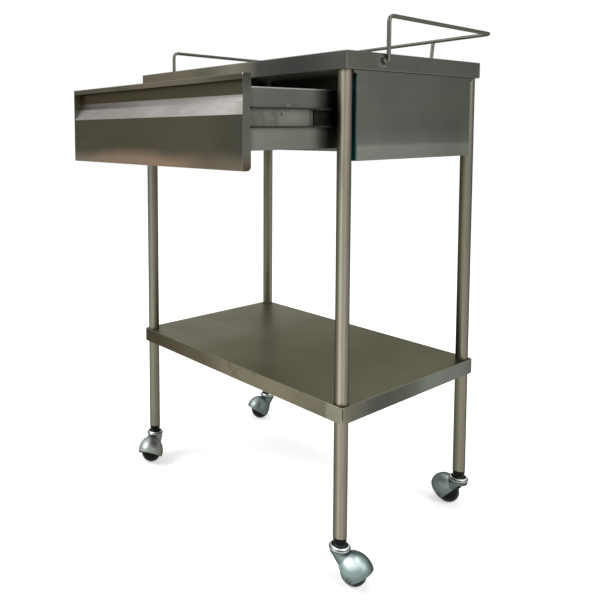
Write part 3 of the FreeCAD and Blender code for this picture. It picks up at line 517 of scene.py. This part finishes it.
def box_colour(finish):
    """Grey-green sides in painted light, lighter below and towards the front, with a painted
    highlight on the hem.
    """
    low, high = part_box("drawer_box")
    colour = finish.along("Y", low[1], high[1], (
        (0.0, (86, 88, 81)), (0.06, (100, 102, 95)), (0.3, (98, 101, 93)),
        (0.41, (104, 107, 99)), (0.50, (100, 103, 94)), (1.0, (92, 95, 86))), wander=0.03)
    # painted light over the sides' foot, strongest towards the front, with painted shade towards
    # the back
    foot = finish.span(finish.parts["Z"], low[2] + FOOT_LIGHT_FROM, low[2] + FOOT_LIGHT_TO,
                       1.0, 0.0)
    ahead = finish.span(finish.parts["Y"], low[1] + FRONT_LIGHT_FROM, low[1] + FRONT_LIGHT_TO,
                        FRONT_LIGHT, BACK_LIGHT)
    colour = finish.shade(colour, finish.both(foot, ahead), 0.16)
    # painted highlight along the hem
    return finish.over(colour, BOX_HEM_HIGHLIGHT, finish.near("Z", high[2], BOX_HEM), strength=0.8)


def slide_colour(finish):
    """Zinc with smudges, a dark band and a painted highlight strip before the shade, and painted
    shade on the lips.
    """
    low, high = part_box("slide_drawer_right")
    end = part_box("side_panel_right")[0][1] - SHADE_AHEAD
    # along the depth: darker at the front end, a dark band, then a painted highlight strip before
    # the shade
    colour = finish.along("Y", low[1], end, (
        (0.0, (66, 67, 60)), (0.08, (90, 91, 84)), (0.16, (99, 101, 93)),
        (0.6, (109, 113, 104)), (0.84, (104, 107, 99)), (0.88, (80, 82, 73)),
        (0.95, (96, 99, 90)), (0.965, (150, 154, 146)), (1.0, (150, 154, 146))), wander=0.004)
    smudge = finish.span(finish.noise(scale=55.0), 0.50, 0.58, 0.0, 0.55)
    handled = finish.span(finish.parts["Y"], low[1] + HANDLED_TO, low[1] + CLEAN_FROM, 1.0, 0.2)
    colour = finish.over(colour, SMUDGE_TONE, finish.both(smudge, handled))
    shaded = finish.maths("GREATER_THAN", finish.parts["Y"], end)
    colour = finish.over(colour, SHADE_DARK, shaded)
    # painted shade on the lips
    out = finish.maths("ABSOLUTE", finish.parts["X"])
    lip = finish.maths("GREATER_THAN", out, (low[0] + high[0]) / 2)
    return finish.over(colour, LIP_SHADE, finish.maths("MAXIMUM", lip, finish.facing_along("Z")))


def member_colour(finish):
    """Zinc of the members inside, painted dark for the shade they lie in."""
    return finish.mix(finish.noise(scale=40.0), INNER_SHADE_DARK, INNER_SHADE_LIGHT)


# Legs: painted reflections; middle angle of the seen side in degrees, then rows of place across
# it and colour
LEG_REFLECTIONS = {
    "front_right": (-51, (
        (-0.98, (84, 82, 71)), (-0.72, (90, 88, 75)), (-0.5, (126, 124, 108)),
        (-0.31, (168, 165, 147)), (-0.05, (135, 130, 114)), (0.3, (136, 129, 115)),
        (0.5, (106, 101, 91)), (0.95, (88, 86, 80)))),
    "back_right": (-60, (
        (-0.95, (60, 58, 45)), (-0.6, (77, 73, 57)), (-0.3, (112, 108, 91)),
        (0.0, (122, 118, 101)), (0.4, (106, 102, 91)), (0.95, (82, 80, 74)))),
    "front_left": (-35, (
        (-0.95, (86, 87, 78)), (-0.6, (112, 113, 102)), (-0.3, (127, 126, 113)),
        (0.0, (113, 106, 94)), (0.5, (95, 88, 77)), (0.95, (82, 79, 71)))),
    "back_left": (-45, (
        (-0.95, (98, 94, 84)), (-0.6, (96, 94, 81)), (-0.3, (102, 101, 84)),
        (0.0, (94, 94, 74)), (0.4, (102, 102, 83)), (0.9, (112, 111, 96)))),
}
LEG_CALM = screen(112, 108, 94)
LEG_CALM_BELOW, LEG_CALM_UP_TO = 0.30, 0.35
STAIN_GRAIN = (60, 60, 7)
SHELF_RING = 0.007
TOP_RING = 0.008


def tube_colour(corner):
    """Painted reflections that run down a tube, told apart by the angle round its axis."""
    middle, tones = LEG_REFLECTIONS[corner]
    low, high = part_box(f"leg_{corner}")
    whole = 2 * math.pi
    rows = [(0.5 + middle / 360 + math.asin(place) / whole, tone) for place, tone in tones]

    def colour(finish):
        across = finish.maths("SUBTRACT", finish.parts["X"], (low[0] + high[0]) / 2)
        deep = finish.maths("SUBTRACT", finish.parts["Y"], (low[1] + high[1]) / 2)
        angle = finish.maths("ARCTAN2", deep, across)
        leg_reflections = finish.ramp(finish.maths("MULTIPLY_ADD", angle, 1 / whole, 0.5), rows)
        grain = finish.noise(scale=1.0, detail=4.0, vector=finish.stretched(STAIN_GRAIN))
        leg_reflections = finish.over(leg_reflections, BROWN, finish.span(grain, 0.55, 0.75, 0.0, 0.3))
        # below the shelf the painted reflections calm towards an even colour
        calm = finish.span(finish.parts["Z"], LEG_CALM_BELOW, LEG_CALM_UP_TO, 0.45, 0.0)
        leg_reflections = finish.over(leg_reflections, LEG_CALM, calm)
        ring = finish.maths("MAXIMUM", finish.near("Z", SHELF_LEVEL, SHELF_RING),
                            finish.near("Z", RIM_FOOT, TOP_RING))
        return finish.over(leg_reflections, BROWN, ring, strength=0.6)
    return colour


# Rail
ROD_GREY = screen(92, 92, 84)
ROD_LIT = screen(140, 140, 130)
ROD_INWARD = -0.05


def rod_colour(finish):
    """Grey rod, in painted light where it lies close to a rim and faces it."""
    inward = finish.maths("MULTIPLY", finish.facing["X"], finish.parts["X"])
    faces_rim = finish.maths("LESS_THAN", inward, ROD_INWARD)
    below_top = finish.maths("LESS_THAN", finish.parts["Z"], TOP_LEVEL)
    # painted light on the rod's side that faces the rim
    return finish.mix(finish.both(below_top, faces_rim), ROD_GREY, ROD_LIT)


# Casters
HOOD_LIGHT = (0.16, -0.62, 0.77)
HOOD_BEND = 0.16
HOOD_GREY = screen(86, 92, 84)
HOOD_PALE = screen(158, 156, 144)


def hood_colour(finish):
    """Blue-green zinc: pale where it faces the light, dark where it turns away."""
    light = finish.add("ShaderNodeVectorMath")
    light.operation = "DOT_PRODUCT"
    finish.put(light.inputs[0], finish.normal)
    finish.put(light.inputs[1], HOOD_LIGHT)
    bend = finish.maths("MULTIPLY_ADD", finish.noise(scale=45.0), HOOD_BEND, -HOOD_BEND / 2)
    return finish.ramp(finish.maths("ADD", light.outputs["Value"], bend), (
        (0.0, (52, 60, 56)), (0.35, (78, 90, 86)), (0.62, (102, 116, 113)),
        (0.82, (130, 147, 146)), (1.0, (206, 218, 220))))


def rear_hood_colour(finish):
    """The rear hoods stand in the table's shade and look greyer."""
    return finish.mix(0.55, hood_colour(finish), HOOD_GREY)


def left_hood_colour(finish):
    """Painted light: the front left hood is a little lighter and less green."""
    return finish.mix(0.45, hood_colour(finish), HOOD_PALE)


def cap_colour(finish):
    """From the foot: dark, a painted highlight band, a dark groove, a second painted highlight
    band, painted shade above.
    """
    low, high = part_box("caster_cap_front_right")
    return finish.along("Z", low[2], high[2], (
        (0.0, (60, 68, 64)), (0.14, (168, 176, 170)), (0.26, (150, 158, 152)),
        (0.32, (50, 58, 54)), (0.42, (62, 70, 66)), (0.47, (196, 204, 198)),
        (0.64, (206, 214, 208)), (0.70, (44, 50, 46)), (0.90, (34, 40, 37)),
        (1.0, (70, 78, 74))))


def make_sheet_finishes():
    """Top, shelf, housing and drawer."""
    dull_at_hooks(brushed("tray steel", tray_colour)).done("top_tray")
    brushed("shelf steel", shelf_colour, smudge=0.14).done("shelf_tray")
    brushed("panel steel", panel_colour, "Y", smudge=0.14).done(
        "side_panel_left", "side_panel_right")
    brushed("back panel steel", back_colour).done("back_panel")
    brushed("drawer front steel", front_colour).done("drawer_front")
    brushed("drawer box steel", box_colour, "Y").done("drawer_box")


def make_tube_finishes():
    """Legs, rail, rivets and welds."""
    for corner in CORNERS:
        brushed(f"leg steel {corner}", tube_colour(corner), "Z", rough=0.36).done(f"leg_{corner}")
    brushed("rail rod steel", rod_colour, "Y", rough=0.34).done("guard_rail", "rail_posts")
    brushed("rivet steel", plain(48, 48, 44), "Y").done("rim_rivets")
    brushed("weld steel", plain(104, 98, 84), "Z", rough=0.36).done("top_welds", "shelf_welds")


def make_slide_finishes():
    """Slides with their balls and screws."""
    brushed("slide zinc", slide_colour, "Y", rough=0.38).done(
        "slide_drawer_left", "slide_drawer_right")
    brushed("inner slide zinc", member_colour, "Y", rough=0.38).done(
        *[f"slide_{part}_{hand}" for part in ("middle", "cabinet", "bracket")
          for hand, side in SIDES])
    brushed("bearing steel", plain(150, 150, 150), "Y", rough=0.25).done(
        "slide_balls_left", "slide_balls_right")
    brushed("screw steel", plain(88, 90, 84), "Y").done("drawer_screws")


def make_caster_finishes():
    """Hoods, caps, pins, plugs, washers and wheels."""
    for name, colour, smudge, corners in (
            ("right hood zinc", hood_colour, 0.18, ("front_right",)),
            ("left hood zinc", left_hood_colour, 0.18, ("front_left",)),
            ("rear hood zinc", rear_hood_colour, 0.22, ("back_left", "back_right"))):
        brushed(name, colour, rough=0.40, streak=0.03, smudge=smudge).done(
            *[f"caster_hood_{corner}" for corner in corners])
    brushed("cap zinc", cap_colour, "Z", rough=0.34, streak=0.03, smudge=0.14).done(
        *[f"caster_cap_{corner}" for corner in CORNERS])
    brushed("pin zinc", plain(92, 100, 98)).done(
        *[f"caster_{part}_{corner}" for part in ("axle", "stem") for corner in CORNERS])
    moulded("plug plastic", screen(13, 11, 9), rough=0.5).done(
        *[f"caster_{part}_{corner}" for part in ("plug", "washer") for corner in CORNERS])
    moulded("wheel plastic", screen(8, 8, 8), rough=0.4).done(
        *[f"caster_wheel_{corner}" for corner in CORNERS])


# New pieces
def skin(rings, ends):
    """Points and faces of a closed surface: rings of points in a row and a point at each end."""
    rows, columns = rings.shape[:2]
    index = np.arange(rows * columns).reshape(rows, columns)
    after = np.roll(index, -1, axis=1)
    quads = np.stack([index[:-1], index[1:], after[1:], after[:-1]], axis=-1).reshape(-1, 4)
    head, foot = rows * columns, rows * columns + 1
    caps = np.vstack([
        np.stack([np.full(columns, head), index[0], after[0]], axis=-1),
        np.stack([np.full(columns, foot), after[-1], index[-1]], axis=-1)])
    return np.vstack([rings.reshape(-1, 3), ends]), quads, caps


def add_piece(name, skins, body):
    """Joins some skins to one piece that moves with a body, and returns its mesh."""
    verts, faces, count = [], [], 0
    for points, quads, caps in skins:
        verts.append(points)
        faces += (quads + count).tolist() + (caps + count).tolist()
        count += len(points)
    mesh = bpy.data.meshes.new(name)
    mesh.from_pydata(np.vstack(verts).tolist(), [], faces)
    piece = bpy.data.objects.new(name, mesh)
    bpy.context.scene.collection.objects.link(piece)
    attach(piece, body)
    return mesh


# Weld beads that hold the rail's hooks to the rims: place along, level and radius of each
WELD_SPOTS = ((-0.1215, 0.9940, 0.0028), (-0.1132, 0.9838, 0.0022))
WELD_STEPS = 40
LUMP_DEPTH = 0.12
LUMP_THICKNESS = 0.5


def make_weld_beads():
    """Lumps r(u, v) = R (1 + D sin 3u cos 5v) of a flattened ball, one at each spot.

    u runs round and v from pole to pole; across the rim the lump is half as thick.
    """
    around = np.linspace(0.0, 2 * np.pi, WELD_STEPS, endpoint=False)
    down = np.linspace(0.0, np.pi, WELD_STEPS // 2 + 1)[1:-1]
    u, v = np.meshgrid(around, down)
    lump = 1 + LUMP_DEPTH * np.sin(3 * u) * np.cos(5 * v)
    rings = np.stack([LUMP_THICKNESS * lump * np.sin(v) * np.cos(u),
                      lump * np.sin(v) * np.sin(u), lump * np.cos(v)], axis=-1)
    points, quads, caps = skin(rings, [(0, 0, 1), (0, 0, -1)])
    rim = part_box("top_tray")[1][0]
    lumps = [(points * radius + (side * rim, along, level), quads, caps)
             for side in (-1, 1) for along, level, radius in WELD_SPOTS]
    add_piece("rail_weld_beads", lumps, "frame").shade_smooth()
    brushed("bead steel", plain(116, 114, 102), "Z", rough=0.4).done("rail_weld_beads")


# Pointed tabs of the outer slide members, bent up beside the drawer box
TAB_BEHIND = 0.096
TAB_RISE = 0.005
TAB_FOOT = 0.020
TAB_HEIGHT = 0.0074
TAB_SHEET = 0.0012
TAB_PROUD = 0.0003
TAB_TIP = 0.10
TAB_STEPS = 40
SECTION_STEPS = 16
SECTION_POWER = 0.3
TAB_GREY = screen(102, 105, 97)
# painted highlight colour for the tabs' upward cut edges
TAB_EDGE_HIGHLIGHT = screen(178, 178, 168)


def tab_colour(finish):
    """Grey zinc with painted highlights on its upward-facing cut edges."""
    return finish.mix(finish.span(finish.facing["Z"], 0.2, 0.6), TAB_GREY, TAB_EDGE_HIGHLIGHT)


def make_slide_tabs():
    """Tent z(u) = H (sqrt(1 + c^2) - sqrt(u^2 + c^2)) / (sqrt(1 + c^2) - c), u from -1 to 1.

    A thin upright section, a squared oval, is carried along the tab's foot; c rounds the tip.
    """
    u = np.linspace(-1.0, 1.0, TAB_STEPS)[1:-1]
    wide = math.hypot(1.0, TAB_TIP)
    tall = TAB_HEIGHT * (wide - np.hypot(u, TAB_TIP)) / (wide - TAB_TIP)
    turn = np.linspace(0.0, 2 * np.pi, SECTION_STEPS, endpoint=False)
    across = np.sign(np.cos(turn)) * np.abs(np.cos(turn)) ** SECTION_POWER
    upward = np.sign(np.sin(turn)) * np.abs(np.sin(turn)) ** SECTION_POWER
    along = np.repeat(u[:, None] * TAB_FOOT / 2, len(turn), axis=1)
    rings = np.stack([np.outer(np.ones_like(u), across) * TAB_SHEET / 2, along,
                      np.outer(tall, (upward + 1) / 2)], axis=-1)
    points, quads, caps = skin(rings, [(0, -TAB_FOOT / 2, 0), (0, TAB_FOOT / 2, 0)])
    tabs = []
    for hand, side in SIDES:
        low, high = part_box(f"slide_drawer_{hand}")
        web = (low[0] if side > 0 else high[0]) + side * (TAB_SHEET / 2 + TAB_PROUD)
        tabs.append((points + (web, low[1] + TAB_BEHIND, high[2] - TAB_RISE), quads, caps))
    add_piece("slide_tabs", tabs, "drawer")
    brushed("tab zinc", tab_colour, "Y").done("slide_tabs")


# Studio
AMBIENT = 0.55
FLOOR_SPAN = 30.0
FLOOR_WHITE = (0.86, 0.86, 0.86, 1.0)
FLOOR_ROUGH = 0.9
FLOOR_LIFT = 0.50


def any_ray(tree, *kinds):
    """1 for a ray of one of the kinds named, else 0."""
    rays = tree.nodes.new("ShaderNodeLightPath").outputs
    share = rays[kinds[0]]
    for kind in kinds[1:]:
        either = tree.nodes.new("ShaderNodeMath")
        either.operation = "MAXIMUM"
        tree.links.new(share, either.inputs[0])
        tree.links.new(rays[kind], either.inputs[1])
        share = either.outputs[0]
    return share


def make_surroundings():
    """White for camera, glossy and transmission rays; plain light for all others."""
    world = bpy.data.worlds.new("studio")
    bpy.context.scene.world = world
    world.use_nodes = True
    tree = world.node_tree
    strength = tree.nodes.new("ShaderNodeMapRange")
    seen = any_ray(tree, "Is Camera Ray", "Is Glossy Ray", "Is Transmission Ray")
    tree.links.new(seen, strength.inputs["Value"])
    strength.inputs["To Min"].default_value = AMBIENT
    strength.inputs["To Max"].default_value = 1.0
    background = tree.nodes["Background"]
    background.inputs["Color"].default_value = WHITE
    tree.links.new(strength.outputs[0], background.inputs["Strength"])


def make_floor():
    """A flat white floor that keeps the table's shadow."""
    corners = [(FLOOR_SPAN * across, FLOOR_SPAN * deep, 0)
               for across, deep in ((-1, -1), (1, -1), (1, 1), (-1, 1))]
    mesh = bpy.data.meshes.new("floor")
    mesh.from_pydata(corners, [], [(0, 1, 2, 3)])
    floor = bpy.data.objects.new("floor", mesh)
    bpy.context.scene.collection.objects.link(floor)
    paint = bpy.data.materials.new("white floor")
    paint.use_nodes = True
    tree = paint.node_tree
    shader = tree.nodes["Principled BSDF"].inputs
    shader["Base Color"].default_value = FLOOR_WHITE
    shader["Roughness"].default_value = FLOOR_ROUGH
    shader["Emission Color"].default_value = WHITE
    amount = tree.nodes.new("ShaderNodeMath")
    amount.operation = "MULTIPLY"
    tree.links.new(any_ray(tree, "Is Camera Ray", "Is Glossy Ray"), amount.inputs[0])
    amount.inputs[1].default_value = FLOOR_LIFT
    tree.links.new(amount.outputs[0], shader["Emission Strength"])
    mesh.materials.append(paint)


# Lamps: name, place, size in metres and power in watts; all look at the table's middle
LAMPS = (
    ("key", (-1.6, -3.2, 3.4), 1.6, 90),
    ("side", (3.6, 0.4, 2.4), 1.8, 60),
    ("top", (0.2, 0.6, 4.2), 1.4, 50),
)
LAMP_TARGET = (0.0, 0.0, 0.6)


def make_lamps():
    """Square softboxes."""
    for name, place, size, power in LAMPS:
        data = bpy.data.lights.new(name, "AREA")
        data.shape = "SQUARE"
        data.size = size
        data.energy = power
        item = bpy.data.objects.new(name, data)
        item.location = place
        item.rotation_mode = "QUATERNION"
        look = Vector(LAMP_TARGET) - Vector(place)
        item.rotation_quaternion = look.to_track_quat("-Z", "Y")
        bpy.context.scene.collection.objects.link(item)


# Camera, solved from the photograph's straight edges
CAMERA_PLACE = (1.1023, -1.1904, 0.8647)
CAMERA_YAW = math.radians(53.604)
CAMERA_PITCH = math.radians(-4.218)
CAMERA_ROLL = math.radians(-0.458)
SENSOR = 36.0
FOCAL_PIXELS = 665.33
PICTURE_PIXELS = 600
OPTICAL_CENTRE = (170.44, 179.91)


def make_camera():
    data = bpy.data.cameras.new("camera")
    camera = bpy.data.objects.new("camera", data)
    bpy.context.scene.collection.objects.link(camera)
    bpy.context.scene.camera = camera
    data.sensor_width = SENSOR
    data.lens = SENSOR * FOCAL_PIXELS / PICTURE_PIXELS
    half = PICTURE_PIXELS / 2
    data.shift_x = (half - OPTICAL_CENTRE[0]) / PICTURE_PIXELS
    data.shift_y = -(half - OPTICAL_CENTRE[1]) / PICTURE_PIXELS
    turn = (Matrix.Rotation(CAMERA_YAW, 4, "Z")
            @ Matrix.Rotation(math.pi / 2 + CAMERA_PITCH, 4, "X")
            @ Matrix.Rotation(CAMERA_ROLL, 4, "Z"))
    camera.matrix_world = Matrix.Translation(CAMERA_PLACE) @ turn


bpy.context.scene.view_settings.view_transform = "Standard"
make_camera()
make_surroundings()
make_floor()
make_lamps()
make_sheet_finishes()
make_tube_finishes()
make_slide_finishes()
make_caster_finishes()
make_weld_beads()
make_slide_tabs()
